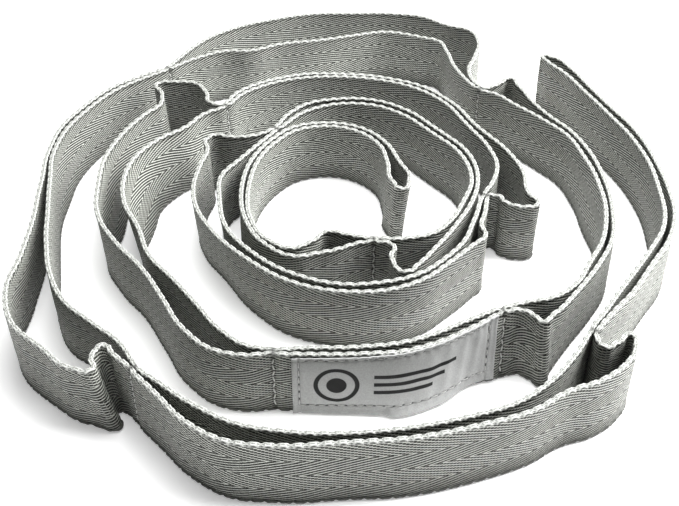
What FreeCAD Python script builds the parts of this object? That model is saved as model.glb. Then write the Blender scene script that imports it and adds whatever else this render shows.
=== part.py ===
import FreeCAD, Part
import cmath
import functools
import math
import os

# Stretching strap: a flat webbing folded back on itself at both ends and sewn across
# at ten places, which leaves ten hand loops and a short section that carries the label.
# It lies loosely coiled and stands on one edge, so every ply is an upright band and the
# whole strap is drawn in plan, with its foot on z = 0 and +Z up. Millimetres and degrees.
# Plan points are complex numbers, x + yj, and the coil runs counter-clockwise from its
# inner end, so each ply's left side faces the middle of the coil.

# Webbing
WIDTH = 25.0  # from edge to edge, which is its height here
THICK = 1.8
PLY_GAP = 0.2  # free space between two plies where they are sewn together
PLY_SHIFT = (THICK + PLY_GAP) / 2  # from the middle of a seam to the middle of a ply

# Thread of the cross seams: a lock stitch, seen as dashes on both faces
THREAD = 0.6
STITCH = 2.5  # from hole to hole
SEAM_HOLES = 9
DASH_GAP = 0.5  # from one dash to the next

# Label, sewn on round its edge
LABEL_LOW, LABEL_HIGH = 0.9, 24.5
LABEL_THICK = 0.4
LABEL_START, LABEL_END = 5.5, 73.0  # along the front ply from seam 5
HEM_START, HEM_END = 2.1, 3.3  # from the label's edges to its stitching
HEM_LOW, HEM_HIGH = 3.0, 1.8
LABEL_THREAD = 0.4
LABEL_DASH, LABEL_PITCH = 2.0, 2.9

# Seams 1 to 10 in order from the inner end: place, and the way the coil runs there
SEAMS = {
    1: (7.7 - 41.5j, 0),
    2: (-29 + 30j, 233),
    3: (48.6 - 15.7j, 66),
    4: (-50.8 + 48.1j, 230),
    5: (-23.8 - 95.9j, -5),
    6: (47 - 77.3j, 20),
    7: (55.1 + 61.6j, 130),
    8: (-78.1 + 79.4j, 222),
    9: (-64.4 - 102.8j, 307),
    10: (73.8 - 86.9j, 60),
}

# The points each ply runs through between its two seams. The outer ply of a loop is
# longer than the inner one, and its spare length stands out as a fold beside a seam.
LOOP_01 = [  # back from seam 1 along the outer ply, round the end fold, along the inner
    -9 - 48j, -20 - 50j, -30 - 43j, -37 - 30j, -39.5 - 12j, -37.5 + 6j, -31 + 21j,
    -21 + 31.5j, -8 + 34j, 6 + 29.5j, 14.5 + 19j, 18.5 + 7j, 21.5 - 5j, 19 - 11j, 15.5 - 6j,
    14 + 6j, 11 + 18.5j, 3.5 + 27.5j, -8 + 31.7j, -20 + 29j, -29 + 19.5j, -35.2 + 5.5j,
    -37.2 - 12j, -35 - 29j, -28.5 - 41j, -20 - 46j, -13 - 42j, -8 - 37j, -2 - 38.5j,
]
PLIES = {
    "loop_02_inner": [
        18 - 41j, 28 - 38j, 35 - 30j, 40 - 19j, 44.5 - 5j, 42 + 12j, 31 + 28.5j,
        21 + 41j, 8 + 48.5j, -6 + 48.5j, -16 + 44j,
    ],
    "loop_02_outer": [
        14 - 44.5j, 13 - 51j, 18 - 58.5j, 22.5 - 54j, 29 - 44.5j, 36 - 33.5j, 42.5 - 21.5j,
        47 - 5j, 45 + 12j, 34 + 30j, 24.5 + 42.5j, 11 + 51.5j, -5 + 53j, -16 + 50j, -24 + 42j,
    ],
    "loop_03_inner": [
        -35 + 19j, -41 + 8.5j, -47.5 - 4j, -47 - 18j, -44 - 33j, -35 - 46.5j, -22 - 58j,
        -6 - 64.5j, 9 - 64j, 22 - 59.5j, 32 - 51j, 39 - 41.5j, 42.8 - 31j,
    ],
    "loop_03_outer": [
        -36 + 25.5j, -45 + 24j, -54 + 24.8j, -56 + 21.5j, -54.5 + 15j, -56 + 3j, -57 - 10j,
        -54.5 - 24j, -47 - 38j, -34 - 52.5j, -19 - 64j, -3 - 68.5j, 12 - 67.5j, 24 - 62j,
        33 - 53.5j, 41 - 45j, 46 - 38.5j, 45 - 33.5j, 47 - 26j,
    ],
    "loop_04_inner": [
        51.5 - 8j, 55 + 4j, 53.5 + 16j, 46.5 + 33j, 39.5 + 49j, 29 + 61j, 14 + 68.5j,
        -3 + 71.5j, -19 + 71j, -33 + 66j, -43.8 + 57.3j,
    ],
    "loop_04_outer": [
        52.5 - 15.5j, 55.5 - 20j, 61 - 22.5j, 66 - 21.5j, 64 - 13j, 64 - 1j, 60.5 + 12.5j,
        51 + 31j, 42 + 50j, 30.5 + 63j, 14.5 + 71j, -3 + 74j, -20 + 73.5j, -34.5 + 68j,
        -45.5 + 59.5j,
    ],
    "loop_05_inner": [
        -58 + 41.5j, -65.5 + 30.5j, -74.5 + 22j, -81 + 10.5j, -83.5 - 5j, -81 - 20j,
        -73 - 36j, -68 - 48.5j, -58 - 62j, -49.5 - 74j, -40.5 - 86.5j, -31.5 - 93.5j,
    ],
    "loop_05_outer": [
        -56.5 + 50j, -59.5 + 59j, -64 + 66j, -73 + 67.5j, -80.5 + 66j, -77.5 + 57j,
        -77 + 49j, -82.5 + 40.5j, -88.5 + 27j, -92.5 + 11j, -92.5 - 8j, -89 - 27j,
        -79.5 - 43j, -69 - 56.5j, -60.5 - 71.5j, -52 - 86j, -42 - 95j, -33 - 97.5j,
    ],
    "label_section_inner": [-14 - 94.5j, 2 - 94j, 13 - 92.5j, 25 - 88.3j, 36 - 82j],
    "label_section_outer": [-14 - 97.2j, 2 - 97j, 14 - 95.7j, 26.5 - 91.2j, 37.5 - 84.5j],
    "loop_06_inner": [
        55 - 73.5j, 64 - 71j, 72 - 64.5j, 79 - 53.5j, 86.3 - 40j, 90 - 24j, 90.5 - 6j,
        88.8 + 9j, 84.5 + 25.5j, 76.5 + 37.5j, 68.5 + 47.5j, 61 + 57j,
    ],
    "loop_06_outer": [
        53.2 - 77.3j, 56.3 - 79.5j, 58.5 - 82.5j, 63 - 79j, 71 - 69.5j, 81 - 55.5j,
        88.7 - 42j, 92.5 - 24j, 93 - 5j, 91.5 + 12j, 87 + 28j, 80 + 40j, 75 + 51j,
        71.5 + 63j, 68 + 70.5j, 64 + 66.5j, 60 + 63.3j,
    ],
    "loop_07_inner": [
        49.5 + 69j, 45.5 + 81j, 43.5 + 95j, 41 + 104.5j, 33 + 108.5j, 17 + 113.5j,
        4 + 110.5j, -12 + 105.5j, -30 + 101.5j, -43 + 95.5j, -55 + 95j, -67 + 88.5j,
    ],
    "loop_07_outer": [
        52 + 70j, 51.5 + 78j, 55 + 89.5j, 58.5 + 103j, 56 + 115j, 45.5 + 121j, 34 + 129.5j,
        18 + 132.6j, 0 + 132.7j, -18 + 131.8j, -32 + 127.5j, -49.5 + 119.5j, -61.5 + 109.5j,
        -69.5 + 97.5j, -74.3 + 88j,
    ],
    "loop_08_inner": [
        -86 + 71.5j, -97 + 60.8j, -105 + 47j, -110.8 + 31j, -112.8 + 13j, -110.5 - 6j,
        -107 - 24j, -103.5 - 41j, -99 - 58j, -92 - 72j, -80 - 83.5j, -70.5 - 92j,
    ],
    "loop_08_outer": [
        -88 + 73j, -99.5 + 62.5j, -107.5 + 48j, -113.5 + 31.5j, -115 + 14j, -113 - 8j,
        -111 - 30j, -110.5 - 50j, -110.5 - 68j, -105 - 83j, -94 - 94j, -83 - 103j,
        -77 - 104j, -77.7 - 97.5j, -75.5 - 93j, -71 - 97.5j,
    ],
    "loop_09_inner": [
        -56 - 109j, -46 - 117j, -34 - 124j, -18 - 127.7j, -2 - 128j, 15 - 125.8j,
        32 - 122j, 48 - 116j, 58 - 107.5j, 66 - 97.5j,
    ],
    "loop_09_outer": [
        -57 - 112.5j, -47 - 123.5j, -36 - 130.5j, -20 - 132.5j, -2 - 131.3j, 16 - 130j,
        34 - 125.5j, 50 - 119.5j, 63 - 111.5j, 72 - 108j, 80 - 102j, 85 - 94j, 85 - 88.5j,
        80 - 92j, 76 - 94j, 74 - 90.5j,
    ],
}
LOOP_10 = [  # from seam 10 along the outer ply, round the end fold, back along the inner
    82 - 77.5j, 90 - 68j, 99.5 - 54.5j, 108.5 - 41j, 113.5 - 27j, 115.3 - 8j, 114.8 + 10j,
    112 + 29j, 106.5 + 46j, 101 + 63j, 96 + 78j, 89.5 + 89j, 85.5 + 90.5j, 86.5 + 86.5j,
    92 + 75.5j, 98 + 59j, 104 + 42j, 109.5 + 24j, 112.3 + 6j, 112 - 12j, 108.5 - 32j,
    100 - 47.5j, 90 - 62.5j, 80.5 - 76j,
]

# Where the webbing leans: its foot stands off from its top edge, most at the place
# given and less further off. Ply, place, how far the foot is off, and reach.
LEANS = [
    ("", 47 - 77.5j, -4.9j, 8.5),
    ("", -75 + 35j, 3.5 - 1.5j, 22),
    ("loop_01", 20.5 - 6j, -2.2, 12),
    ("loop_03", -50 - 36j, 3.4 + 3j, 20),
    ("loop_05_inner", -80 - 2j, 9, 24),
    ("loop_05_inner", -68 + 25j, 1.3 - 3.3j, 12),
    ("loop_05_outer", -91, 7.5, 20),
    ("label_section", 20 - 92j, -3.4j, 16),
    ("loop_06_inner", 90 - 3j, -1.7, 12),
    ("loop_06_outer", 58 - 81.5j, 1.4 - 4.2j, 6),
    ("loop_08_inner", -112 + 17j, 2, 14),
    ("loop_08_inner", -82 - 82j, 1.5 + 2j, 10),
    ("loop_08_outer", -77 - 104j, 6 + 0.5j, 7),
    ("loop_08_outer", -75.5 - 93j, 3 - 5j, 6),
]


def turn(degrees):
    """The unit vector that points this way in plan."""
    return cmath.rect(1.0, math.radians(degrees))


def dot(a, b):
    return (a * b.conjugate()).real


class Arc:
    """A stretch of a line, straight or round, from a start along a heading."""

    def __init__(self, start, heading, end=None, bend=0.0, length=0.0):
        self.start = start
        self.heading = heading
        self.bend = bend  # one over the radius, positive to the left
        self.length = length
        if end is not None:
            half = cmath.phase((end - start) / heading)
            chord = abs(end - start)
            self.length = chord if abs(half) < 1e-6 else chord * half / math.sin(half)
            self.bend = 2 * half / self.length

    def along(self, distance):
        """The heading at this distance from the start."""
        return self.heading * cmath.exp(1j * self.bend * distance)

    def at(self, distance, side=0.0):
        """The point at this distance, moved to the left by side."""
        swept = self.bend * distance
        if abs(swept) < 1e-6:
            point = self.start + self.heading * distance
        else:
            point = self.start + self.heading * (cmath.exp(1j * swept) - 1) / (1j * self.bend)
        return point + 1j * side * self.along(distance)

    def piece(self, low, high):
        """The stretch between two distances."""
        return Arc(self.at(low), self.along(low), bend=self.bend, length=high - low)


def two_arcs(start, end, leaving, arriving):
    """Two arcs that join tangentially and take a line from start to end."""
    chord = end - start
    spread = 2 * (1 - dot(leaving, arriving))
    reach = dot(chord, leaving + arriving)
    size = abs(chord) ** 2
    if spread < 1e-9:
        arm = size / (2 * reach)
    else:
        arm = (math.sqrt(reach**2 + spread * size) - reach) / spread
    middle = (start + arm * leaving + end - arm * arriving) / 2
    first = Arc(start, leaving, middle)
    return [first, Arc(middle, first.along(first.length), end)]


def line_through(points, leaving, arriving):
    """A smooth line of arcs through all the points."""
    headings = [leaving]
    for before, here, after in zip(points, points[1:], points[2:]):
        a, b = here - before, after - here
        way = a / abs(a) ** 2 + b / abs(b) ** 2
        headings.append(way / abs(way))
    headings.append(arriving)
    line = []
    for i in range(len(points) - 1):
        line += two_arcs(points[i], points[i + 1], headings[i], headings[i + 1])
    return line


def stretch(line_at, first, last, height):
    """The part of a line at a height, between two distances along its top edge."""
    pieces = []
    done = 0.0
    for top, here in zip(line_at(WIDTH), line_at(height)):
        low, high = max(first - done, 0.0), min(last - done, top.length)
        if high - low > 1e-6:
            share = here.length / top.length
            pieces.append(here.piece(low * share, high * share))
        done += top.length
    return pieces


def lean(point, height, ply=""):
    """How far a point of a ply is off its top edge at this height."""
    total = 0j
    for name, middle, shift, reach in LEANS:
        if ply.startswith(name):
            total += shift * math.exp(-((abs(point - middle) / reach) ** 2))
    return total * (1 - height / WIDTH)


def outline(line, left, right, height):
    """The closed wire round both sides of a line at one height."""

    def edge(arc, side, back):
        ends = [arc.at(s, side) for s in (0.0, arc.length / 2, arc.length)]
        if back:
            ends.reverse()
        a, b, c = [FreeCAD.Vector(end.real, end.imag, height) for end in ends]
        if abs(arc.bend) * arc.length < 1e-4:
            return Part.LineSegment(a, c).toShape()
        return Part.Arc(a, b, c).toShape()

    there = [edge(arc, left, False) for arc in line]
    home = [edge(arc, right, True) for arc in reversed(line)]
    far = Part.LineSegment(there[-1].lastVertex().Point, home[0].firstVertex().Point).toShape()
    near = Part.LineSegment(home[-1].lastVertex().Point, there[0].firstVertex().Point).toShape()
    return Part.Wire(there + [far] + home + [near])


def band(line_at, left, right, low, high):
    """A solid that follows a line between two sides of it and two heights.

    line_at gives the line at a height, which changes where the webbing leans."""
    foot = outline(line_at(low), left, right, low)
    head = outline(line_at(high), left, right, high)
    return Part.makeLoft([foot, head], True, True)


def seam_end(number, inner):
    """Where the middle of a ply crosses a seam at its top, and the way it runs there."""
    middle, degrees = SEAMS[number]
    way = turn(degrees)
    return middle + 1j * way * (PLY_SHIFT if inner else -PLY_SHIFT), way


def ply_line(name, first, last, height):
    """The middle line of one ply from seam first to seam last, at a height."""
    inner = name.endswith("inner")
    start, leaving = seam_end(first, inner)
    end, arriving = seam_end(last, inner)
    points = [start + lean(SEAMS[first][0], height)]
    points += [point + lean(point, height, name) for point in PLIES[name]]
    points += [end + lean(SEAMS[last][0], height)]
    return line_through(points, leaving, arriving)


def end_line(name, number, through, height):
    """The middle line of an end loop, which leaves its seam and comes back to it."""
    outer, way = seam_end(number, inner=False)
    inner, _ = seam_end(number, inner=True)
    away = -way if number == 1 else way
    off = lean(SEAMS[number][0], height)
    points = [outer + off] + [point + lean(point, height, name) for point in through]
    return line_through(points + [inner + off], away, -away)


def webbing(line_at):
    return band(line_at, THICK / 2, -THICK / 2, 0.0, WIDTH)


def cross_seam(number):
    """One row of lock stitches through both plies: dashes outside, thread through."""
    middle, degrees = SEAMS[number]
    way = turn(degrees)
    outside = THICK + PLY_GAP / 2  # from the middle of the seam to a ply's open face
    base = (WIDTH - STITCH * (SEAM_HOLES - 1)) / 2

    def row(height):
        return [Arc(middle + lean(middle, height) - way * THREAD / 2, way, length=THREAD)]

    def block(side_low, side_high, z_low, z_high):
        return band(row, side_high, side_low, z_low, z_high)

    thread = block(-outside, outside, base - THREAD / 2, base + THREAD / 2)
    for i in range(SEAM_HOLES - 1):
        low = base + i * STITCH
        top = low + STITCH
        hole = block(-outside, outside, top - THREAD / 2, top + THREAD / 2)
        ends = (low + DASH_GAP / 2, top - DASH_GAP / 2)
        front = block(-outside - THREAD / 2, -outside + THREAD / 2, *ends)
        back = block(outside - THREAD / 2, outside + THREAD / 2, *ends)
        thread = thread.fuse([hole, front, back])
    return thread.removeSplitter()


def label_stitching(line_at):
    """Stitches all round the label, half sunk in it."""
    side = -THICK / 2 - LABEL_THICK + LABEL_THREAD / 2
    low, high = LABEL_LOW + HEM_LOW, LABEL_HIGH - HEM_HIGH
    start, end = LABEL_START + HEM_START, LABEL_END - HEM_END

    def run(first, last, base, top):
        part = functools.partial(stretch, line_at, first, last)
        return band(part, side, side - LABEL_THREAD, base, top)

    stitches = []
    count = int((end - start) // LABEL_PITCH) - 1
    first = (start + end - (count - 1) * LABEL_PITCH - LABEL_DASH) / 2
    for i in range(count):
        along = first + i * LABEL_PITCH
        stitches.append(run(along, along + LABEL_DASH, low, low + LABEL_THREAD))
        stitches.append(run(along, along + LABEL_DASH, high - LABEL_THREAD, high))
    count = int((high - low) // LABEL_PITCH)
    first = (low + high - (count - 1) * LABEL_PITCH - LABEL_DASH) / 2
    for i in range(count):
        z = first + i * LABEL_PITCH
        stitches.append(run(start, start + LABEL_THREAD, z, z + LABEL_DASH))
        stitches.append(run(end - LABEL_THREAD, end, z, z + LABEL_DASH))
    return Part.makeCompound(stitches)


def build():
    """Every node of the strap, by name."""
    nodes = {}
    nodes["loop_01_webbing"] = webbing(lambda z: end_line("loop_01", 1, LOOP_01, z))
    for loop in (2, 3, 4, 5, 6, 7, 8, 9):
        for side in ("inner", "outer"):
            name = f"loop_{loop:02d}_{side}"
            # The label section lies between seams 5 and 6, so later loops start one on.
            first = loop - 1 if loop < 6 else loop
            nodes[name + "_ply"] = webbing(lambda z: ply_line(name, first, first + 1, z))

    def back(height):
        return ply_line("label_section_inner", 5, 6, height)

    def front(height):
        return ply_line("label_section_outer", 5, 6, height)

    nodes["label_section_back_ply"] = webbing(back)
    middle = len(front(0.0)) // 2  # the front ply is in two lengths that meet under the label
    nodes["label_section_front_ply_start"] = webbing(lambda z: front(z)[:middle])
    nodes["label_section_front_ply_end"] = webbing(lambda z: front(z)[middle:])
    nodes["loop_10_webbing"] = webbing(lambda z: end_line("loop_10", 10, LOOP_10, z))
    for number in SEAMS:
        nodes[f"cross_seam_{number:02d}"] = cross_seam(number)
    cloth = functools.partial(stretch, front, LABEL_START, LABEL_END)
    nodes["label"] = band(cloth, -THICK / 2, -THICK / 2 - LABEL_THICK, LABEL_LOW, LABEL_HIGH)
    nodes["label_stitching"] = label_stitching(front)
    return nodes


os.makedirs("parts", exist_ok=True)
for name, shape in build().items():
    shape.exportStep(f"parts/{name}.step")
    print(name, "valid" if shape.isValid() else "INVALID", f"{shape.Volume:.1f} mm3")
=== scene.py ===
import cmath
import math

import bpy
import numpy as np
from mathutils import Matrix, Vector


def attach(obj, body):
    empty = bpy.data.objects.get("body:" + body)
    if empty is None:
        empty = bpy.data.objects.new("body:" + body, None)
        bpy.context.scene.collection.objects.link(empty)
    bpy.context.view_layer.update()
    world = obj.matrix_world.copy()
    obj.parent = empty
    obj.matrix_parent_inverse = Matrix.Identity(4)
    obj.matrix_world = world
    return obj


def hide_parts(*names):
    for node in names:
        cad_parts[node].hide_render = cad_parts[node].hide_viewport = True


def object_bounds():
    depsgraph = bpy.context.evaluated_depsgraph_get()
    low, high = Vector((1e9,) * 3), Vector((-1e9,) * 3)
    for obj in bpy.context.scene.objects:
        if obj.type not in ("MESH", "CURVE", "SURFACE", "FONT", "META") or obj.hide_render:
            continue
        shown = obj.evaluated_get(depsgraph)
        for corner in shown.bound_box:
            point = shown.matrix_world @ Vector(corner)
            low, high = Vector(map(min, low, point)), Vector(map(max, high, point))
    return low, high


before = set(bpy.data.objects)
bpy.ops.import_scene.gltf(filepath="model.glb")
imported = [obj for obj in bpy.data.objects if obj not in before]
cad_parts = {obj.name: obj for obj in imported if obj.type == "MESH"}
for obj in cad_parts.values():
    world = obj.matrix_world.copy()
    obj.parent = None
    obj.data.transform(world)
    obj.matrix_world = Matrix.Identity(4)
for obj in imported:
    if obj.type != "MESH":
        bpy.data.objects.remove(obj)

# Stretching strap, standing on its edge in a loose coil. The plan is drawn in
# millimetres with complex numbers, x + yj, and every mesh is made in metres.
# The coil runs counter-clockwise from its inner end, so a ply's left side, +, faces
# the middle of the coil.
CAD_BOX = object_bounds()
MM = 0.001

# Webbing
WIDTH = CAD_BOX[1].z / MM  # the strap stands on edge, so its height is the webbing's width
PLY_SHIFT = 1.0  # from the middle of a seam to the middle of a ply
BODY_HALF = 0.64  # half the thickness of the woven body
STEP = 0.28  # between two rings of the mesh
BODY_ROWS = 15
BEAD_POINTS = 17
BEAD_ACROSS, BEAD_UP = 0.68, 0.56  # radii of the selvedge
BEAD_TURN = 142.0  # degrees that the selvedge turns each way from its outermost point
# Each selvedge is a row of shells: strands that arch over from one notch to the next,
# with a second row of arches behind that shows in the notches
SHELL = 4.05
SHELL_HEIGHT = 1.5  # from the body to the crest, round the selvedge
SHELL_RADIUS = 1.3
STRAND = 0.62  # from one arch to the next
STRAND_DEPTH, NOTCH_DEPTH = 0.22, 0.2
BEAD_CENTRE = BEAD_UP + STRAND_DEPTH  # in from the webbing's edge

# Herringbone of the body: a three-and-one twill that turns back at each spine
BAND = 6.0
SPINE = 0.5  # height of a spine, and there is one each BAND above it
TWILL, TWILL_RISE = SHELL, 1.0  # one line to the next, along the strap and up it
PICK = TWILL / 4
END = TWILL_RISE / 4

# Cross seams: the plies are pulled together under the thread
GROOVE, GROOVE_HALF = 0.3, 1.2
HOLE_HALF = 0.75  # of the shade round a hole
STITCH, SEAM_HOLES = 2.5, 9
SEAM_BASE = (WIDTH - STITCH * (SEAM_HOLES - 1)) / 2  # height of the lowest hole
THREAD_RADIUS = 0.27
THREAD_SINK = 0.7  # how deep a stitch goes into the cloth at its holes
STITCH_SLANT = 0.3  # how far each end of a stitch is off the middle of the seam
STITCH_SHORT = 0.12  # between the end of a stitch and its hole

# Label
LABEL_START, LABEL_END = 5.5, 73.0  # along the front ply from seam 5
LABEL_LOW = (0.3, 1.6)  # height of its lower edge at its start and at its end
LABEL_HEIGHT, LABEL_THICK = 23.4, 0.35
LABEL_PRESSED = 0.1  # its thickness where the stitches pull it flat
HEM_START, HEM_END, HEM_LOW, HEM_HIGH = 2.1, 3.3, 3.2, 1.3
LABEL_DASH, LABEL_PITCH = 2.1, 2.9
LABEL_THREAD_RADIUS = 0.2
LABEL_SINK = 0.35  # how deep its stitches go
LABEL_FOLDS = (  # middle along the ply, half width, height
    (46.0, 2.4, 0.3),
    (52.0, 1.7, 0.2),
    (57.5, 1.9, 0.42),
    (63.0, 1.5, 0.36),
)
TUCK = 0.5  # how far the front ply's top edge drops behind the label
TUCK_BEGINS, TUCK_ENDS = (30, 42), (71, 75)  # where it comes and goes along the ply

# The label's mark: a ring round a dot, and three bars, each with its middle, half and level
RING_CENTRE = 13.5, 12.0
RING_RADIUS, DOT_RADIUS = 6.3, 3.0
BARS = (38.0, 13.0, 15.0), (36.0, 11.0, 12.0), (34.0, 9.0, 9.0)
LINE_HALF = 0.6

# Colours
YARN = (0.45, 0.464, 0.42, 1.0), (0.535, 0.549, 0.504, 1.0)
# the weft in the weave's grooves, painted near black as shade
WEFT_AND_GROOVE_SHADE = (0.008, 0.009, 0.006, 1.0)
# painted shade at the foot of the webbing, where it stands on the floor
FOOT_SHADE = (0.03, 0.03, 0.025, 1.0)
# pale strands, and near-black painted shade in the crevices between them
SELVEDGE = (0.035, 0.037, 0.032, 1.0), (0.47, 0.48, 0.455, 1.0)
# painted shade on the lower selvedge, where it stands on the floor
LOW_SELVEDGE_SHADE = (0.07, 0.072, 0.065, 1.0)
SEAM_SHADE = (0.02, 0.02, 0.018, 1.0)
SATIN_TONES = (0.26, 0.263, 0.26, 1.0), (0.45, 0.453, 0.45, 1.0)
# painted shade of the holes and pulled cloth along the label's stitching
SATIN_STITCH_SHADE = (0.05, 0.05, 0.05, 1.0)
PRINT = (0.006, 0.006, 0.006, 1.0)

# Light: each lamp's name, place, size in metres and power in watts
WORLD_LIGHT = 0.12
FLOOR_GLOW = 0.33
LAMPS = (
    ("overhead", (0.0, 0.05, 0.55), 0.35, 3.6),
    ("right", (0.68, 0.2, 0.68), 0.8, 34.0),
)

# The camera looks along +Y and down, at a point on the floor
CAMERA_TARGET = (-0.00398, -0.01828, 0.0)
CAMERA_DISTANCE = 0.383
CAMERA_ELEVATION = math.radians(38.5)
CAMERA_LENS = 54.6

# Seams 1 to 10 in order from the inner end: place, and the way the coil runs there
SEAMS = {
    1: (7.7 - 41.5j, 0),
    2: (-29 + 30j, 233),
    3: (48.6 - 15.7j, 66),
    4: (-50.8 + 48.1j, 230),
    5: (-23.8 - 95.9j, -5),
    6: (47 - 77.3j, 20),
    7: (55.1 + 61.6j, 130),
    8: (-78.1 + 79.4j, 222),
    9: (-64.4 - 102.8j, 307),
    10: (73.8 - 86.9j, 60),
}

# The points each ply runs through between its two seams, as in the CAD source
LOOP_01 = [
    -9 - 48j, -20 - 50j, -30 - 43j, -37 - 30j, -39.5 - 12j, -37.5 + 6j, -31 + 21j,
    -21 + 31.5j, -8 + 34j, 6 + 29.5j, 14.5 + 19j, 18.5 + 7j, 21.5 - 5j, 19 - 11j, 15.5 - 6j,
    14 + 6j, 11 + 18.5j, 3.5 + 27.5j, -8 + 31.7j, -20 + 29j, -29 + 19.5j, -35.2 + 5.5j,
    -37.2 - 12j, -35 - 29j, -28.5 - 41j, -20 - 46j, -13 - 42j, -8 - 37j, -2 - 38.5j,
]
PLIES = {
    "loop_02_inner": [
        18 - 41j, 28 - 38j, 35 - 30j, 40 - 19j, 44.5 - 5j, 42 + 12j, 31 + 28.5j,
        21 + 41j, 8 + 48.5j, -6 + 48.5j, -16 + 44j,
    ],
    "loop_02_outer": [
        14 - 44.5j, 13 - 51j, 18 - 58.5j, 22.5 - 54j, 29 - 44.5j, 36 - 33.5j, 42.5 - 21.5j,
        47 - 5j, 45 + 12j, 34 + 30j, 24.5 + 42.5j, 11 + 51.5j, -5 + 53j, -16 + 50j, -24 + 42j,
    ],
    "loop_03_inner": [
        -35 + 19j, -41 + 8.5j, -47.5 - 4j, -47 - 18j, -44 - 33j, -35 - 46.5j, -22 - 58j,
        -6 - 64.5j, 9 - 64j, 22 - 59.5j, 32 - 51j, 39 - 41.5j, 42.8 - 31j,
    ],
    "loop_03_outer": [
        -36 + 25.5j, -45 + 24j, -54 + 24.8j, -56 + 21.5j, -54.5 + 15j, -56 + 3j, -57 - 10j,
        -54.5 - 24j, -47 - 38j, -34 - 52.5j, -19 - 64j, -3 - 68.5j, 12 - 67.5j, 24 - 62j,
        33 - 53.5j, 41 - 45j, 46 - 38.5j, 45 - 33.5j, 47 - 26j,
    ],
    "loop_04_inner": [
        51.5 - 8j, 55 + 4j, 53.5 + 16j, 46.5 + 33j, 39.5 + 49j, 29 + 61j, 14 + 68.5j,
        -3 + 71.5j, -19 + 71j, -33 + 66j, -43.8 + 57.3j,
    ],
    "loop_04_outer": [
        52.5 - 15.5j, 55.5 - 20j, 61 - 22.5j, 66 - 21.5j, 64 - 13j, 64 - 1j, 60.5 + 12.5j,
        51 + 31j, 42 + 50j, 30.5 + 63j, 14.5 + 71j, -3 + 74j, -20 + 73.5j, -34.5 + 68j,
        -45.5 + 59.5j,
    ],
    "loop_05_inner": [
        -58 + 41.5j, -65.5 + 30.5j, -74.5 + 22j, -81 + 10.5j, -83.5 - 5j, -81 - 20j,
        -73 - 36j, -68 - 48.5j, -58 - 62j, -49.5 - 74j, -40.5 - 86.5j, -31.5 - 93.5j,
    ],
    "loop_05_outer": [
        -56.5 + 50j, -59.5 + 59j, -64 + 66j, -73 + 67.5j, -80.5 + 66j, -77.5 + 57j,
        -77 + 49j, -82.5 + 40.5j, -88.5 + 27j, -92.5 + 11j, -92.5 - 8j, -89 - 27j,
        -79.5 - 43j, -69 - 56.5j, -60.5 - 71.5j, -52 - 86j, -42 - 95j, -33 - 97.5j,
    ],
    "label_section_inner": [-14 - 94.5j, 2 - 94j, 13 - 92.5j, 25 - 88.3j, 36 - 82j],
    "label_section_outer": [-14 - 97.2j, 2 - 97j, 14 - 95.7j, 26.5 - 91.2j, 37.5 - 84.5j],
    "loop_06_inner": [
        55 - 73.5j, 64 - 71j, 72 - 64.5j, 79 - 53.5j, 86.3 - 40j, 90 - 24j, 90.5 - 6j,
        88.8 + 9j, 84.5 + 25.5j, 76.5 + 37.5j, 68.5 + 47.5j, 61 + 57j,
    ],
    "loop_06_outer": [
        53.2 - 77.3j, 56.3 - 79.5j, 58.5 - 82.5j, 63 - 79j, 71 - 69.5j, 81 - 55.5j,
        88.7 - 42j, 92.5 - 24j, 93 - 5j, 91.5 + 12j, 87 + 28j, 80 + 40j, 75 + 51j,
        71.5 + 63j, 68 + 70.5j, 64 + 66.5j, 60 + 63.3j,
    ],
    "loop_07_inner": [
        49.5 + 69j, 45.5 + 81j, 43.5 + 95j, 41 + 104.5j, 33 + 108.5j, 17 + 113.5j,
        4 + 110.5j, -12 + 105.5j, -30 + 101.5j, -43 + 95.5j, -55 + 95j, -67 + 88.5j,
    ],
    "loop_07_outer": [
        52 + 70j, 51.5 + 78j, 55 + 89.5j, 58.5 + 103j, 56 + 115j, 45.5 + 121j, 34 + 129.5j,
        18 + 132.6j, 0 + 132.7j, -18 + 131.8j, -32 + 127.5j, -49.5 + 119.5j, -61.5 + 109.5j,
        -69.5 + 97.5j, -74.3 + 88j,
    ],
    "loop_08_inner": [
        -86 + 71.5j, -97 + 60.8j, -105 + 47j, -110.8 + 31j, -112.8 + 13j, -110.5 - 6j,
        -107 - 24j, -103.5 - 41j, -99 - 58j, -92 - 72j, -80 - 83.5j, -70.5 - 92j,
    ],
    "loop_08_outer": [
        -88 + 73j, -99.5 + 62.5j, -107.5 + 48j, -113.5 + 31.5j, -115 + 14j, -113 - 8j,
        -111 - 30j, -110.5 - 50j, -110.5 - 68j, -105 - 83j, -94 - 94j, -83 - 103j,
        -77 - 104j, -77.7 - 97.5j, -75.5 - 93j, -71 - 97.5j,
    ],
    "loop_09_inner": [
        -56 - 109j, -46 - 117j, -34 - 124j, -18 - 127.7j, -2 - 128j, 15 - 125.8j,
        32 - 122j, 48 - 116j, 58 - 107.5j, 66 - 97.5j,
    ],
    "loop_09_outer": [
        -57 - 112.5j, -47 - 123.5j, -36 - 130.5j, -20 - 132.5j, -2 - 131.3j, 16 - 130j,
        34 - 125.5j, 50 - 119.5j, 63 - 111.5j, 72 - 108j, 80 - 102j, 85 - 94j, 85 - 88.5j,
        80 - 92j, 76 - 94j, 74 - 90.5j,
    ],
}
LOOP_10 = [
    82 - 77.5j, 90 - 68j, 99.5 - 54.5j, 108.5 - 41j, 113.5 - 27j, 115.3 - 8j, 114.8 + 10j,
    112 + 29j, 106.5 + 46j, 101 + 63j, 96 + 78j, 89.5 + 89j, 85.5 + 90.5j, 86.5 + 86.5j,
    92 + 75.5j, 98 + 59j, 104 + 42j, 109.5 + 24j, 112.3 + 6j, 112 - 12j, 108.5 - 32j,
    100 - 47.5j, 90 - 62.5j, 80.5 - 76j,
]

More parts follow.
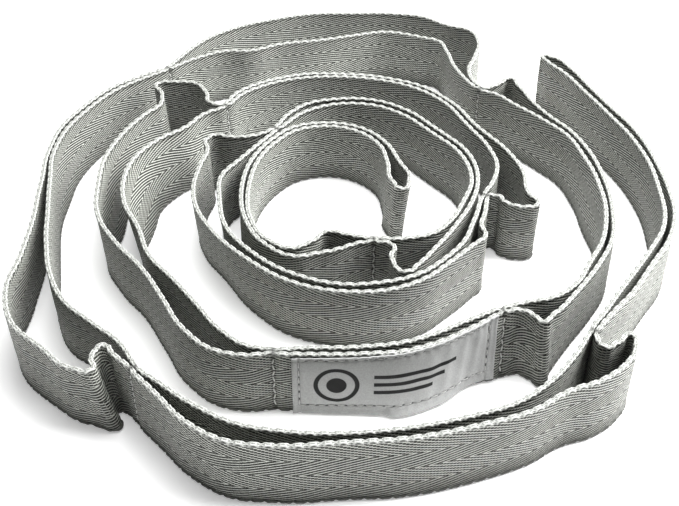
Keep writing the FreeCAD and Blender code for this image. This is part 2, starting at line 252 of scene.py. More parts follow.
# Where the webbing leans: its foot stands off from its top edge, most at the place
# given and less further off. Ply, place, how far the foot is off, and reach.
LEANS = [
    ("", 47 - 77.5j, -4.9j, 8.5),
    ("", -75 + 35j, 3.5 - 1.5j, 22),
    ("loop_01", 20.5 - 6j, -2.2, 12),
    ("loop_03", -50 - 36j, 3.4 + 3j, 20),
    ("loop_05_inner", -80 - 2j, 9, 24),
    ("loop_05_inner", -68 + 25j, 1.3 - 3.3j, 12),
    ("loop_05_outer", -91, 7.5, 20),
    ("label_section", 20 - 92j, -3.4j, 16),
    ("loop_06_inner", 90 - 3j, -1.7, 12),
    ("loop_06_outer", 58 - 81.5j, 1.4 - 4.2j, 6),
    ("loop_08_inner", -112 + 17j, 2, 14),
    ("loop_08_inner", -82 - 82j, 1.5 + 2j, 10),
    ("loop_08_outer", -77 - 104j, 6 + 0.5j, 7),
    ("loop_08_outer", -75.5 - 93j, 3 - 5j, 6),
]


# ---------------------------------------------------------------- lines in plan


def turn(degrees):
    return cmath.rect(1.0, math.radians(degrees))


def dot(a, b):
    return (a * b.conjugate()).real


class Arc:
    """A stretch of a line, straight or round, from a start along a heading."""

    def __init__(self, start, heading, end):
        self.start = start
        self.heading = heading
        half = cmath.phase((end - start) / heading)
        chord = abs(end - start)
        self.length = chord if abs(half) < 1e-6 else chord * half / math.sin(half)
        self.bend = 2 * half / self.length

    def along(self, distance):
        return self.heading * cmath.exp(1j * self.bend * distance)

    def at(self, distance):
        swept = self.bend * distance
        if abs(swept) < 1e-6:
            return self.start + self.heading * distance
        return self.start + self.heading * (cmath.exp(1j * swept) - 1) / (1j * self.bend)


def two_arcs(start, end, leaving, arriving):
    """Two arcs that join tangentially and take a line from start to end."""
    chord = end - start
    spread = 2 * (1 - dot(leaving, arriving))
    reach = dot(chord, leaving + arriving)
    size = abs(chord) ** 2
    if spread < 1e-9:
        arm = size / (2 * reach)
    else:
        arm = (math.sqrt(reach**2 + spread * size) - reach) / spread
    middle = (start + arm * leaving + end - arm * arriving) / 2
    first = Arc(start, leaving, middle)
    return [first, Arc(middle, first.along(first.length), end)]


def line_through(points, leaving, arriving):
    """A smooth line of arcs through all the points."""
    headings = [leaving]
    for before, here, after in zip(points, points[1:], points[2:]):
        a, b = here - before, after - here
        way = a / abs(a) ** 2 + b / abs(b) ** 2
        headings.append(way / abs(way))
    headings.append(arriving)
    line = []
    for i in range(len(points) - 1):
        line += two_arcs(points[i], points[i + 1], headings[i], headings[i + 1])
    return line


def length_of(line):
    return sum(arc.length for arc in line)


def seam_end(number, inner):
    """Where the middle of a ply crosses a seam, and the way it runs there."""
    middle, degrees = SEAMS[number]
    way = turn(degrees)
    return middle + 1j * way * (PLY_SHIFT if inner else -PLY_SHIFT), way


def lean(point, ply=""):
    """How far the foot of a ply is off its top edge here."""
    total = 0j
    for name, middle, shift, reach in LEANS:
        if ply.startswith(name):
            total += shift * math.exp(-((abs(point - middle) / reach) ** 2))
    return total


def head_and_foot(name, points, ends, leaving, arriving):
    """The line of a ply's top edge through its points, and the line of its foot."""
    lines = []
    for share in (0.0, 1.0):
        first, last = (end + share * lean(seam) for end, seam in ends)
        through = [point + share * lean(point, name) for point in points]
        lines.append(line_through([first] + through + [last], leaving, arriving))
    return lines


def ply_lines(name, first, last):
    inner = name.endswith("inner")
    start, leaving = seam_end(first, inner)
    end, arriving = seam_end(last, inner)
    ends = ((start, SEAMS[first][0]), (end, SEAMS[last][0]))
    return head_and_foot(name, PLIES[name], ends, leaving, arriving)


def end_lines(name, number, points):
    """An end loop leaves its seam along the outer ply and comes back along the inner."""
    outer, way = seam_end(number, inner=False)
    inner, _ = seam_end(number, inner=True)
    away = -way if number == 1 else way
    seam = SEAMS[number][0]
    return head_and_foot(name, points, ((outer, seam), (inner, seam)), away, -away)


def walk(lines, distances):
    """Points and headings at distances along the top edge, each with those of the foot."""
    head, foot = lines
    points, ways = [], []
    number, done = 0, 0.0
    for distance in distances:
        while number < len(head) - 1 and distance > done + head[number].length:
            done += head[number].length
            number += 1
        top, low = head[number], foot[number]
        along = distance - done
        below = along * low.length / top.length
        points.append((top.at(along), low.at(below)))
        ways.append((top.along(along), low.along(below)))
    return np.array(points), np.array(ways)


def stand(points, ways, across, height):
    """Where the cloth is in plan, at an offset to the left and a height."""
    up = height / WIDTH
    top = points[..., 0, None] + 1j * ways[..., 0, None] * across
    low = points[..., 1, None] + 1j * ways[..., 1, None] * across
    return up * top + (1 - up) * low


def smooth(low, high, x):
    t = np.clip((x - low) / (high - low), 0.0, 1.0)
    return t * t * (3 - 2 * t)


# ---------------------------------------------------------------- meshes


def mesh_object(name, points, faces, uv=None, attributes=None, flat=None):
    """A mesh from plan points and heights in millimetres."""
    mesh = bpy.data.meshes.new(name)
    loops = np.concatenate([np.array(face) for face in faces])
    counts = np.array([len(face) for face in faces])
    mesh.vertices.add(len(points))
    mesh.vertices.foreach_set("co", (points * MM).astype(np.float32).ravel())
    mesh.loops.add(len(loops))
    mesh.loops.foreach_set("vertex_index", loops.astype(np.int32))
    mesh.polygons.add(len(counts))
    starts = np.concatenate([[0], np.cumsum(counts)[:-1]])
    mesh.polygons.foreach_set("loop_start", starts.astype(np.int32))
    smooth_faces = np.ones(len(counts), bool)
    if flat is not None:
        smooth_faces[flat] = False
    mesh.polygons.foreach_set("use_smooth", smooth_faces)
    mesh.update(calc_edges=True)
    if uv is not None:
        layer = mesh.uv_layers.new(name="cloth")
        layer.data.foreach_set("uv", uv[loops].astype(np.float32).ravel())
    for key, values in (attributes or {}).items():
        layer = mesh.attributes.new(key, "FLOAT", "POINT")
        layer.data.foreach_set("value", values.astype(np.float32).ravel())
    mesh.validate()
    made = bpy.data.objects.new(name, mesh)
    bpy.context.scene.collection.objects.link(made)
    return made


def section():
    """The webbing's section as a closed ring: offset, height, way out, turn round the selvedge."""
    low_join = BEAD_CENTRE - BEAD_UP * math.sin(math.radians(90 - BEAD_TURN))
    rows = np.linspace(low_join, WIDTH - low_join, BODY_ROWS + 2)[1:-1]
    angles = np.radians(np.linspace(90 - BEAD_TURN, 90 + BEAD_TURN, BEAD_POINTS))
    round_it = (angles - math.pi / 2) / math.radians(BEAD_TURN)
    left = np.full(BODY_ROWS, BODY_HALF)
    none = np.zeros(BODY_ROWS)
    offset = np.concatenate(
        [left, BEAD_ACROSS * np.cos(angles), -left, -BEAD_ACROSS * np.cos(angles)]
    )
    height = np.concatenate([
        rows,
        WIDTH - BEAD_CENTRE + BEAD_UP * np.sin(angles),
        rows[::-1],
        BEAD_CENTRE - BEAD_UP * np.sin(angles),
    ])
    out_x = np.concatenate([none + 1, np.cos(angles), none - 1, -np.cos(angles)])
    out_z = np.concatenate([none, np.sin(angles), none, -np.sin(angles)])
    bead = np.concatenate([none, np.ones(BEAD_POINTS), none, np.ones(BEAD_POINTS)])
    turned = np.concatenate([none, round_it, none, round_it])
    return offset, height, out_x, out_z, bead, turned


def cap(first, ring):
    """Faces that close one end of the webbing, paired across its thickness."""
    half = BEAD_POINTS // 2
    left = list(range(BODY_ROWS))
    top = list(range(BODY_ROWS, BODY_ROWS + BEAD_POINTS))
    right = list(range(BODY_ROWS + BEAD_POINTS, 2 * BODY_ROWS + BEAD_POINTS))
    bottom = list(range(2 * BODY_ROWS + BEAD_POINTS, ring))
    one = bottom[half + 1 :] + left + top[:half]
    other = bottom[:half][::-1] + right[::-1] + top[half + 1 :][::-1]
    faces = [[bottom[half], one[0], other[0]]]
    for i in range(len(one) - 1):
        faces.append([one[i], one[i + 1], other[i + 1], other[i]])
    faces.append([one[-1], top[half], other[-1]])
    return [[first + i for i in face] for face in faces]


def shells(place, turned):
    """How far the selvedge stands out from its braided strands, and how light it is, with painted shade
    in the crevices and holes between them.
    """
    up = (1 - np.abs(turned)) * SHELL_HEIGHT
    squeeze = 2 * SHELL_HEIGHT / SHELL
    from_front = (place + SHELL / 2) % SHELL - SHELL / 2
    from_back = place % SHELL - SHELL / 2
    front = np.hypot(from_front * squeeze, up)
    back = np.hypot(from_back * squeeze, up - 0.5)
    arches = 0.5 + 0.5 * np.cos(2 * math.pi * (front - SHELL_RADIUS + 0.2) / STRAND)
    behind = 0.5 + 0.5 * np.cos(2 * math.pi * (back - 0.1) / STRAND)
    inside = 1 - smooth(SHELL_RADIUS, SHELL_RADIUS + 0.25, front)
    in_notch = 0.5 * behind - NOTCH_DEPTH / STRAND_DEPTH
    stands = inside * (0.45 + 0.55 * arches) + (1 - inside) * in_notch
    hole = np.exp(-(((front - 0.62) / 0.14) ** 2)) * smooth(0.15, 0.5, up)
    # Painted shade: darker between strands and in the notches, darkest in the holes
    light = inside * (0.55 + 0.45 * arches) + (1 - inside) * (0.35 + 0.55 * behind)
    return stands - 0.4 * hole, light * (1 - 0.95 * hole)


def waves(along, height, seed, fade):
    """The soft unevenness of cloth that stands on its edge."""
    up = height / WIDTH - 0.5
    total = 0.16 * np.sin(along / 9.1 + seed) * (0.4 + up)
    total = total + 0.14 * np.sin(along / 14.3 + 2.1 * seed + 3 * up)
    total = total + 0.05 * np.sin(along / 3.7 + 1.3 * seed - 5 * up)
    return total * fade


def ribbon(name, lines, begin, mate, seamed=(True, True), tuck=None):
    """One ply of webbing along its lines. Begin is its place on the whole strap."""
    length = length_of(lines[0])
    rings = round(length / STEP) + 1
    along = np.linspace(0.0, length, rings)
    middle, way = walk(lines, along)
    offset, height, out_x, out_z, bead, turned = section()
    ring = len(offset)
    place = (begin + along)[:, None]
    # Strands arch over the selvedge from notch to notch, and the crest dips between arches.
    fade = 1 - smooth(0.8, 1.0, np.abs(turned))
    strand, light = shells(place, turned)
    uneven = 1 + 0.12 * np.sin(1.9 * place + 4 * np.sin(place / 17 + begin))
    relief = STRAND_DEPTH * strand * bead * fade * uneven
    # The body is thinner along each spine of the herringbone.
    to_spine = np.abs((height - SPINE + BAND / 2) % BAND - BAND / 2)
    relief = relief + (1 - bead) * 0.06 * smooth(0.0, 2.0, to_spine)
    # At a seam the ply is drawn towards its mate and flattened.
    near = np.full(rings, 1e9)
    if seamed[0]:
        near = np.minimum(near, along)
    if seamed[1]:
        near = np.minimum(near, length - along)
    pulled = np.exp(-((near / GROOVE_HALF) ** 2))[:, None]
    # Webbing under the label is held flat by it.
    free = np.zeros((rings, 1)) if tuck else smooth(2.0, 14.0, near)[:, None]
    across = (offset + out_x * relief) * (1 - 0.2 * pulled) + mate * GROOVE * pulled
    across = across + waves(place, height, begin, free)
    up = height + out_z * relief
    if tuck is not None:
        up = up * (1 - tuck(along)[:, None] / WIDTH)
    flat = stand(middle, way, across, height)
    points = np.stack([flat.real, flat.imag, up], axis=-1).reshape(-1, 3)
    index = np.arange(rings * ring).reshape(rings, ring)
    after = np.roll(index, -1, axis=1)
    sides = np.stack([index[:-1], index[1:], after[1:], after[:-1]], axis=-1).reshape(-1, 4)
    start = [face[::-1] for face in cap(0, ring)]
    end = cap((rings - 1) * ring, ring)
    faces = [list(f) for f in sides] + start + end
    flats = list(range(len(sides), len(faces)))
    uv = np.stack([np.broadcast_to(place, up.shape), np.broadcast_to(height, up.shape)], axis=-1)
    beat = 0.5 + 0.5 * np.cos(2 * math.pi * (height - SEAM_BASE) / STITCH)
    hole = np.exp(-((near[:, None] / HOLE_HALF) ** 2)) * (0.5 + 0.5 * beat)
    # The relief attribute carries the selvedge's painted shade.
    attributes = {
        "edge": np.broadcast_to(bead * fade, up.shape).reshape(-1),
        "relief": np.broadcast_to(light, up.shape).reshape(-1),
        "seam": hole.reshape(-1),
    }
    made = mesh_object(name, points, faces, uv.reshape(-1, 2), attributes, flats)
    made.data.materials.append(WEBBING)
    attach(made, "root")
    return made, length


def tube(path, radius, outward, sides=10, twist=2.2):
    """A twisted thread along a path of points, as points and faces."""
    path = np.array(path)
    ahead = np.gradient(path, axis=0)
    ahead /= np.linalg.norm(ahead, axis=1)[:, None]
    across = np.cross(ahead, outward)
    across /= np.linalg.norm(across, axis=1)[:, None]
    up = np.cross(across, ahead)
    gone = np.concatenate([[0], np.cumsum(np.linalg.norm(np.diff(path, axis=0), axis=1))])
    angle = np.linspace(0, 2 * math.pi, sides, endpoint=False)
    lay = np.abs(np.cos(angle[None, :] - math.pi * gone[:, None] / (twist / 2)))
    size = radius * (0.76 + 0.24 * lay)
    points = path[:, None] + size[..., None] * (
        np.cos(angle)[None, :, None] * across[:, None] + np.sin(angle)[None, :, None] * up[:, None]
    )
    index = np.arange(len(path) * sides).reshape(len(path), sides)
    after = np.roll(index, -1, axis=1)
    faces = np.stack([index[:-1], after[:-1], after[1:], index[1:]], axis=-1).reshape(-1, 4)
    ends = [list(index[0][::-1]), list(index[-1])]
    return points.reshape(-1, 3), [list(f) for f in faces] + ends


def stitch(start, end, outward, radius, sink):
    """One stitch between two holes: it comes up out of one and goes down the other."""
    count = 17
    t = np.linspace(0, 1, count)[:, None]
    arch = np.sin(math.pi * t) ** 0.45
    path = start + (end - start) * t + outward * (sink * (arch - 1))
    return tube(path, radius, outward)


def join(name, parts, material):
    """One piece from several sets of points and faces."""
    points, faces, first = [], [], 0
    for these, those in parts:
        points.append(these)
        faces += [[first + i for i in face] for face in those]
        first += len(these)
    made = mesh_object(name, np.concatenate(points), faces)
    made.data.materials.append(material)
    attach(made, "root")
    return made


def cross_seam(number):
    """A row of lock stitches through both plies, seen on both faces."""
    middle, degrees = SEAMS[number]
    way = turn(degrees)
    face = PLY_SHIFT - GROOVE + BODY_HALF * 0.76 + THREAD_RADIUS * 0.55
    parts = []
    off = lean(middle)
    for side in (1, -1):
        out = 1j * way * side
        outward = np.array([out.real, out.imag, 0.0])
        flat = middle + out * face
        for i in range(SEAM_HOLES - 1):
            low = SEAM_BASE + i * STITCH + STITCH_SHORT
            high = SEAM_BASE + (i + 1) * STITCH - STITCH_SHORT
            slip = STITCH_SLANT * (-1) ** i * way
            a = flat + slip + off * (1 - low / WIDTH)
            b = flat - slip + off * (1 - high / WIDTH)
            start = np.array([a.real, a.imag, low])
            end = np.array([b.real, b.imag, high])
            parts.append(stitch(start, end, outward, THREAD_RADIUS, THREAD_SINK))
    return join(f"cross_seam_{number:02d}_thread", parts, THREAD)


# ---------------------------------------------------------------- label


def label_low(along):
    """The height of the label's lower edge, which isn't sewn quite level."""
    share = (along - LABEL_START) / (LABEL_END - LABEL_START)
    return LABEL_LOW[0] + share * (LABEL_LOW[1] - LABEL_LOW[0])


def tuck(along):
    """How far the front ply's top edge drops behind the label."""
    return TUCK * smooth(*TUCK_BEGINS, along) * (1 - smooth(*TUCK_ENDS, along))


def under_label(along, height):
    """The least offset that clears the ply's own face and its thicker selvedges."""
    from_edge = np.minimum(height, WIDTH - tuck(along) - height)
    return BODY_HALF + 0.1 + 0.22 * (1 - smooth(1.5, 2.5, from_edge))


def label_shape(along, up):
    """The offset of the label's outer face from the middle of its ply."""
    height = label_low(along) + up
    stitched = np.minimum(
        np.minimum(np.abs(along - LABEL_START - HEM_START), np.abs(LABEL_END - HEM_END - along)),
        np.minimum(np.abs(up - HEM_LOW), np.abs(LABEL_HEIGHT - HEM_HIGH - up)),
    )
    edge = np.minimum(
        np.minimum(along - LABEL_START, LABEL_END - along), np.minimum(up, LABEL_HEIGHT - up)
    )
    over_bead = 0.3 * (1 - smooth(1.0, 2.6, np.minimum(height, WIDTH - height)))
    dimple = 0.3 * np.exp(-((stitched / 0.5) ** 2))
    beat = 0.5 + 0.5 * np.cos(2 * math.pi * along / LABEL_PITCH + 2.0 * np.sin(along / 5.3))
    pucker = 0.22 * beat * np.exp(-((stitched / 1.8) ** 2))
    hem = 0.16 * np.exp(-(((edge - 0.7) / 0.6) ** 2))
    # The free lower hem stands off past the middle, and the right half hangs in soft folds.
    low_hem = np.exp(-((up / 2.2) ** 2))
    flare = 0.75 * low_hem * smooth(33, 37, along) * (1 - smooth(44, 64, along))
    crease = 0.45 * np.exp(-(((along - 33.5) / 1.3) ** 2)) * np.exp(-((up / 6.0) ** 2))
    folds = 0.0
    for middle, half, rise in LABEL_FOLDS:
        folds = folds + rise * np.exp(-(((along - middle - 0.12 * up) / half) ** 2))
    folds = folds * smooth(0.5, 5.0, edge)
    ripple = 0.11 * np.sin(along / 2.3 + 0.25 * up) * np.sin(up / 3.1 + along / 9.0)
    face = BODY_HALF + LABEL_THICK + over_bead + hem + flare + folds + 0.25 + ripple
    return np.maximum(face - dimple - pucker - crease, under_label(along, height) + LABEL_PRESSED)


def label(lines):
    """The label: a satin ribbon that lies on the front ply."""
    columns, rows = 300, 110
    along = np.linspace(LABEL_START, LABEL_END, columns)
    points, ways = walk(lines, along)
    s, up = np.meshgrid(along, np.linspace(0.0, LABEL_HEIGHT, rows), indexing="ij")
    z = label_low(s) + up
    face = label_shape(s, up)
    sheets = []
    for offset in (face, np.maximum(face - LABEL_THICK, under_label(s, z))):
        flat = stand(points, ways, -offset, z)
        sheets.append(np.stack([flat.real, flat.imag, z], axis=-1).reshape(-1, 3))
    front = np.arange(columns * rows).reshape(columns, rows)
    back = front + columns * rows

    def quads(grid):
        return np.stack([grid[:-1, :-1], grid[1:, :-1], grid[1:, 1:], grid[:-1, 1:]], -1).reshape(-1, 4)

    faces = [list(f) for f in quads(front)] + [list(f[::-1]) for f in quads(back)]
    rim = list(front[:, 0]) + list(front[-1, 1:]) + list(front[-2::-1, -1]) + list(front[0, -2:0:-1])
    for a, b in zip(rim, rim[1:] + rim[:1]):
        faces.append([b, a, a + columns * rows, b + columns * rows])
    uv = np.stack([s - LABEL_START, up], axis=-1).reshape(-1, 2)
    made = mesh_object("label_cloth", np.concatenate(sheets), faces, np.concatenate([uv, uv]))
    made.data.materials.append(SATIN)
    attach(made, "root")
    return made


def label_stitches(lines):
    """Stitches all round the label, a hem's width inside its edge."""
    low, high = HEM_LOW, LABEL_HEIGHT - HEM_HIGH
    start, end = LABEL_START + HEM_START, LABEL_END - HEM_END
    runs = []
    count = int((end - start) // LABEL_PITCH)
    step = (end - start) / count
    for up in (low, high):
        for i in range(count):
            runs.append((start + i * step, up, start + i * step + LABEL_DASH, up))
    count = int((high - low) // LABEL_PITCH)
    step = (high - low) / count
    for s in (start, end):
        for i in range(count):
            runs.append((s, low + i * step, s, low + i * step + LABEL_DASH))
    parts = []
    for s0, up0, s1, up1 in runs:
        ends = []
        for s, up in ((s0, up0), (s1, up1)):
            points, ways = walk(lines, [s])
            face = float(label_shape(np.array(s), np.array(up))) + LABEL_THREAD_RADIUS * 0.6
            z = float(label_low(s)) + up
            flat = complex(stand(points, ways, -face, z)[0, 0])
            ends.append(np.array([flat.real, flat.imag, z]))
        out = -1j * ways[0, 0]
        outward = np.array([out.real, out.imag, 0.0])
        parts.append(stitch(*ends, outward, LABEL_THREAD_RADIUS, LABEL_SINK))
    return join("label_stitches", parts, LABEL_THREAD)


# ---------------------------------------------------------------- materials


class Nodes:
    """Makes a material's nodes with few words."""

    def __init__(self, name):
        self.material = bpy.data.materials.new(name)
        self.material.use_nodes = True
        self.tree = self.material.node_tree
        self.shader = self.tree.nodes["Principled BSDF"]

    def add(self, kind, **settings):
        node = self.tree.nodes.new(kind)
        for key, value in settings.items():
            setattr(node, key, value)
        return node

    def put(self, socket, value):
        if isinstance(value, bpy.types.NodeSocket):
            self.tree.links.new(value, socket)
        else:
            socket.default_value = value

    def math(self, operation, *values, clamp=False):
        node = self.add("ShaderNodeMath", operation=operation, use_clamp=clamp)
        for socket, value in zip(node.inputs, values):
            self.put(socket, value)
        return node.outputs[0]

    def ramp(self, value, low, high, to_low=0.0, to_high=1.0):
        node = self.add("ShaderNodeMapRange", interpolation_type="SMOOTHSTEP")
        for socket, number in zip(node.inputs, (value, low, high, to_low, to_high)):
            self.put(socket, number)
        return node.outputs[0]

    def band(self, value, middle, half, soft=0.2):
        """One within half of the middle, falling to nought over soft."""
        away = self.math("ABSOLUTE", self.math("SUBTRACT", value, middle))
        return self.ramp(away, half, half + soft, 1.0, 0.0)

    def mix(self, share, first, second):
        node = self.add("ShaderNodeMix", data_type="RGBA")
        self.put(node.inputs[0], share)
        self.put(node.inputs[6], first)
        self.put(node.inputs[7], second)
        return node.outputs[2]

    def place(self):
        """Distance along the cloth and height on it, in millimetres."""
        uv = self.add("ShaderNodeUVMap", uv_map="cloth").outputs[0]
        split = self.add("ShaderNodeSeparateXYZ")
        self.put(split.inputs[0], uv)
        return split.outputs[0], split.outputs[1]

    def wave(self, value, period):
        """One at whole periods, nought half way between."""
        turned = self.math("MULTIPLY", value, 2 * math.pi / period)
        return self.math("MULTIPLY_ADD", self.math("COSINE", turned), 0.5, 0.5)

    def noise(self, vector, scale, detail=2.0):
        node = self.add("ShaderNodeTexNoise")
        if vector is not None:
            self.put(node.inputs["Vector"], vector)
        node.inputs["Scale"].default_value = scale
        node.inputs["Detail"].default_value = detail
        return node.outputs["Fac"]

    def bump(self, height, depth):
        node = self.add("ShaderNodeBump")
        node.inputs["Strength"].default_value = 1.0
        node.inputs["Distance"].default_value = depth * MM
        self.put(node.inputs["Height"], height)
        self.put(self.shader.inputs["Normal"], node.outputs[0])


def webbing_material():
    n = Nodes("webbing_herringbone")
    u, v = n.place()
    edge = n.add("ShaderNodeAttribute", attribute_name="edge").outputs["Fac"]
    relief = n.add("ShaderNodeAttribute", attribute_name="relief").outputs["Fac"]
    body = n.math("SUBTRACT", 1.0, edge)
    position = n.add("ShaderNodeNewGeometry").outputs["Position"]
    seam = n.add("ShaderNodeAttribute", attribute_name="seam").outputs["Fac"]
    # Diagonal lines of floats, which turn back at each spine. Between two lines the weft shows as
    # dark dashes, one to each pick, painted near black as shade in the grooves. Where the lines
    # fall, each dash lies nearly level and the next is a step lower.
    zig = n.math("PINGPONG", n.math("SUBTRACT", v, SPINE), BAND)
    in_pick = n.math("SUBTRACT", n.math("FRACT", n.math("DIVIDE", u, PICK)), 0.5)
    in_bands = n.math("FRACT", n.math("DIVIDE", n.math("SUBTRACT", v, SPINE), 2 * BAND))
    falling = n.math("GREATER_THAN", in_bands, 0.5)
    phase = n.math("SUBTRACT", n.math("DIVIDE", u, TWILL), n.math("DIVIDE", zig, TWILL_RISE))
    turned_back = n.math("MULTIPLY", falling, -0.9 * PICK / TWILL)
    phase = n.math("MULTIPLY_ADD", in_pick, turned_back, phase)
    line = n.wave(phase, 1.0)
    gap = n.ramp(n.math("ABSOLUTE", in_pick), 0.3, 0.5)
    broken = n.math("MULTIPLY_ADD", falling, -0.15, -0.12)
    uneven = n.ramp(n.noise(position, 700.0), 0.3, 0.7, 0.88, 1.0)
    dash = n.math("MULTIPLY", n.ramp(line, 0.85, 0.5), n.math("MULTIPLY_ADD", gap, broken, 1.0))
    dash = n.math("MULTIPLY", dash, uneven)
    to_spine = n.math("PINGPONG", n.math("SUBTRACT", v, SPINE), BAND / 2)
    spine = n.math("MULTIPLY", n.ramp(to_spine, 0.4, 0.05), n.ramp(line, 0.35, 0.05))
    spine = n.math("MULTIPLY", spine, n.ramp(n.noise(position, 260.0), 0.4, 0.6, 0.3, 1.0))
    groove = n.math("MULTIPLY", n.math("MAXIMUM", dash, spine), body)
    yarn = n.wave(v, END)
    rounded = n.math("MULTIPLY", n.math("MULTIPLY_ADD", n.math("ABSOLUTE", in_pick), -0.6, line), body)
    height = n.math("MULTIPLY_ADD", rounded, 0.8, n.math("MULTIPLY", groove, -0.6))
    height = n.math("MULTIPLY_ADD", yarn, 0.08, height)
    # Selvedge: fine filaments in each strand
    hairs = n.noise(position, 2600.0)
    height = n.math("ADD", height, n.math("MULTIPLY", hairs, 0.35))
    n.bump(height, 0.36)
    # Colour: pale yarn; painted shade darkens the weave's grooves, where the weft shows, and the
    # crevices of the selvedge
    patch = n.noise(position, 90.0)
    woven = n.mix(groove, n.mix(patch, *YARN), WEFT_AND_GROOVE_SHADE)
    # Painted shade: the woven body grows darker over its lowest 9 mm, towards the floor
    woven = n.mix(n.ramp(v, 9.0, 0.0, 0.0, 0.5), woven, FOOT_SHADE)
    # Painted shade in the selvedge's crevices, from the relief attribute
    strands = n.mix(n.ramp(relief, 0.25, 0.95), *SELVEDGE)
    # The lower selvedge, on the edge that the strap stands on, is painted dark as shade
    braid = n.mix(n.ramp(v, 3.0, 2.0), strands, LOW_SELVEDGE_SHADE)
    colour = n.mix(edge, woven, braid)
    colour = n.mix(n.math("MULTIPLY", seam, 0.85), colour, SEAM_SHADE)
    n.put(n.shader.inputs["Base Color"], colour)
    n.put(n.shader.inputs["Roughness"], n.math("MULTIPLY_ADD", groove, 0.3, 0.42))
    n.shader.inputs["Specular IOR Level"].default_value = 0.25
    return n.material


def thread_material(name, colour):
    n = Nodes(name)
    position = n.add("ShaderNodeNewGeometry").outputs["Position"]
    hairs = n.noise(position, 3500.0)
    dark = tuple(0.6 * c for c in colour) + (1.0,)
    n.put(n.shader.inputs["Base Color"], n.mix(hairs, dark, colour + (1.0,)))
    n.put(n.shader.inputs["Roughness"], n.math("MULTIPLY_ADD", hairs, 0.3, 0.4))
    n.bump(hairs, 0.04)
    n.shader.inputs["Sheen Weight"].default_value = 0.15
    return n.material


def satin_material():
    n = Nodes("label_satin")
    u, v = n.place()
    position = n.add("ShaderNodeNewGeometry").outputs["Position"]
    slant = n.math("MULTIPLY_ADD", v, 0.8, u)
    twill = n.wave(slant, 0.42)
    cross = n.wave(n.math("MULTIPLY_ADD", v, -0.8, u), 0.42)
    weave = n.math("MULTIPLY", twill, cross)
    grain = n.noise(position, 2200.0)
    height = n.math("ADD", n.math("MULTIPLY", weave, 0.5), n.math("MULTIPLY", grain, 0.5))
    n.bump(height, 0.035)
    # Painted shade along the label's stitching
    cloth = n.mix(stitched(n, u, v), n.mix(grain, *SATIN_TONES), SATIN_STITCH_SHADE)
    n.put(n.shader.inputs["Base Color"], n.mix(printed(n, u, v), cloth, PRINT))
    n.put(n.shader.inputs["Roughness"], n.math("MULTIPLY_ADD", grain, 0.2, 0.5))
    n.shader.inputs["Specular IOR Level"].default_value = 0.15
    return n.material


def stitched(n, u, v):
    """The painted shade of the holes and the pulled cloth along the label's stitching."""
    upright = HEM_START, LABEL_END - LABEL_START - HEM_END
    level = HEM_LOW, LABEL_HEIGHT - HEM_HIGH
    sides = []
    for place, ends, along, reach in ((u, upright, v, level), (v, level, u, upright)):
        within = n.band(along, sum(reach) / 2, (reach[1] - reach[0]) / 2, 0.1)
        beat = n.wave(n.math("SUBTRACT", along, reach[0] - 0.4), LABEL_PITCH)
        beat = n.ramp(beat, 0.2, 0.8, 0.35, 0.9)
        for end in ends:
            line = n.band(place, end, 0.2, 0.22)
            sides.append(n.math("MULTIPLY", n.math("MULTIPLY", line, within), beat))
    first, second = n.math("MAXIMUM", *sides[:2]), n.math("MAXIMUM", *sides[2:])
    return n.math("MAXIMUM", first, second)


def printed(n, u, v):
    """A plain generic mark: a ring round a dot, and three bars."""
    across = n.math("SUBTRACT", u, RING_CENTRE[0])
    up = n.math("SUBTRACT", v, RING_CENTRE[1])
    square = n.math("ADD", n.math("MULTIPLY", across, across), n.math("MULTIPLY", up, up))
    radius = n.math("SQRT", square)
    ring = n.band(radius, RING_RADIUS, LINE_HALF)
    marks = n.math("MAXIMUM", ring, n.band(radius, 0.0, DOT_RADIUS))
    for middle, half, level in BARS:
        bar = n.math("MULTIPLY", n.band(u, middle, half), n.band(v, level, LINE_HALF))
        marks = n.math("MAXIMUM", marks, bar)
    return marks


WEBBING = webbing_material()
THREAD = thread_material("seam_thread", (0.62, 0.63, 0.60))
LABEL_THREAD = thread_material("label_thread", (0.62, 0.62, 0.61))
SATIN = satin_material()


# ---------------------------------------------------------------- the strap


def build_strap():
    """All the pieces, each in place of its CAD node."""
    for number in SEAMS:
        cross_seam(number)
        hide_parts(f"cross_seam_{number:02d}")

    def keep(made, length, node, seam=None):
        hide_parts(node)

    lines = end_lines("loop_01", 1, LOOP_01)
    made, length = ribbon("loop_01_strap", lines, -length_of(lines[0]), -1)
    keep(made, length, "loop_01_webbing", 1)
    begin = {"inner": 0.0, "outer": 0.0}
    for loop in (2, 3, 4, 5, 5.5, 6, 7, 8, 9):
        for side, mate in (("inner", -1), ("outer", 1)):
            if loop == 5.5:
                name, first = f"label_section_{side}", 5
            else:
                name, first = f"loop_{loop:02d}_{side}", loop - 1 if loop < 6 else loop
            lines = ply_lines(name, first, first + 1)
            start = begin[side]
            begin[side] += length_of(lines[0])
            if name == "label_section_outer":
                front_plies(lines, start, keep)
                continue
            made, length = ribbon(name + "_strap", lines, start, mate)
            node = "label_section_back_ply" if loop == 5.5 else name + "_ply"
            keep(made, length, node, first + 1 if side == "outer" else None)
    made, length = ribbon("loop_10_strap", end_lines("loop_10", 10, LOOP_10), begin["outer"], 1)
    keep(made, length, "loop_10_webbing")


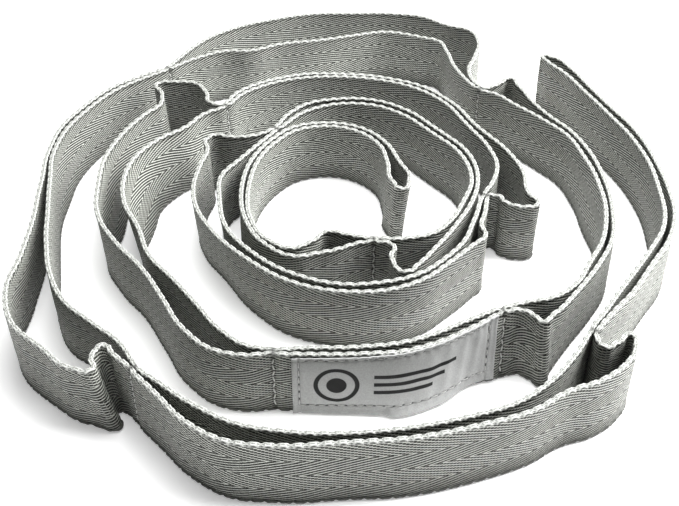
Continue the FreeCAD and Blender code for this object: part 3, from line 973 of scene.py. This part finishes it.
def front_plies(lines, begin, keep):
    """The front ply of the label section, in two lengths that meet under the label."""
    half = len(lines[0]) // 2
    first = [line[:half] for line in lines]
    second = [line[half:] for line in lines]
    cut = length_of(first[0])
    made, length = ribbon("label_section_front_strap_start", first, begin, 1, (True, False), tuck)
    keep(made, length, "label_section_front_ply_start")
    made, length = ribbon(
        "label_section_front_strap_end", second, begin + cut, 1, (False, True), lambda s: tuck(s + cut)
    )
    keep(made, length, "label_section_front_ply_end", 6)
    stitches = label_stitches(lines)
    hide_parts("label_stitching")
    cloth = label(lines)
    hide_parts("label")


build_strap()


# ---------------------------------------------------------------- studio


def floor():
    """A plain pale floor, a hair below the strap."""
    bpy.ops.mesh.primitive_plane_add(size=24.0, location=(0, 0, -0.00015))
    made = bpy.context.object
    made.name = "floor"
    paper = Nodes("floor_paper")
    paper.shader.inputs["Base Color"].default_value = (0.97, 0.97, 0.97, 1.0)
    paper.shader.inputs["Roughness"].default_value = 0.7
    paper.shader.inputs["Specular IOR Level"].default_value = 0.2
    paper.shader.inputs["Emission Color"].default_value = (1.0, 1.0, 1.0, 1.0)
    paper.shader.inputs["Emission Strength"].default_value = FLOOR_GLOW
    made.data.materials.append(paper.material)


def lamp(name, place, size, power):
    """A soft square light that faces the origin."""
    data = bpy.data.lights.new(name, "AREA")
    data.shape = "SQUARE"
    data.size = size
    data.energy = power
    made = bpy.data.objects.new(name, data)
    bpy.context.scene.collection.objects.link(made)
    made.location = place
    made.rotation_euler = made.location.to_track_quat("Z", "Y").to_euler()


def studio():
    world = bpy.data.worlds.new("studio")
    world.use_nodes = True
    bpy.context.scene.world = world
    background = world.node_tree.nodes["Background"]
    background.inputs["Color"].default_value = (1.0, 1.0, 1.0, 1.0)
    background.inputs["Strength"].default_value = WORLD_LIGHT
    for values in LAMPS:
        lamp(*values)


def camera():
    data = bpy.data.cameras.new("camera")
    data.lens = CAMERA_LENS
    data.sensor_width = 36.0
    data.clip_start = 0.01
    made = bpy.data.objects.new("camera", data)
    bpy.context.scene.collection.objects.link(made)
    x, y, z = CAMERA_TARGET
    back = CAMERA_DISTANCE * math.cos(CAMERA_ELEVATION)
    made.location = (x, y - back, z + CAMERA_DISTANCE * math.sin(CAMERA_ELEVATION))
    made.rotation_euler = (math.pi / 2 - CAMERA_ELEVATION, 0.0, 0.0)
    bpy.context.scene.camera = made


floor()
studio()
camera()
bpy.context.scene.view_settings.view_transform = "Standard"
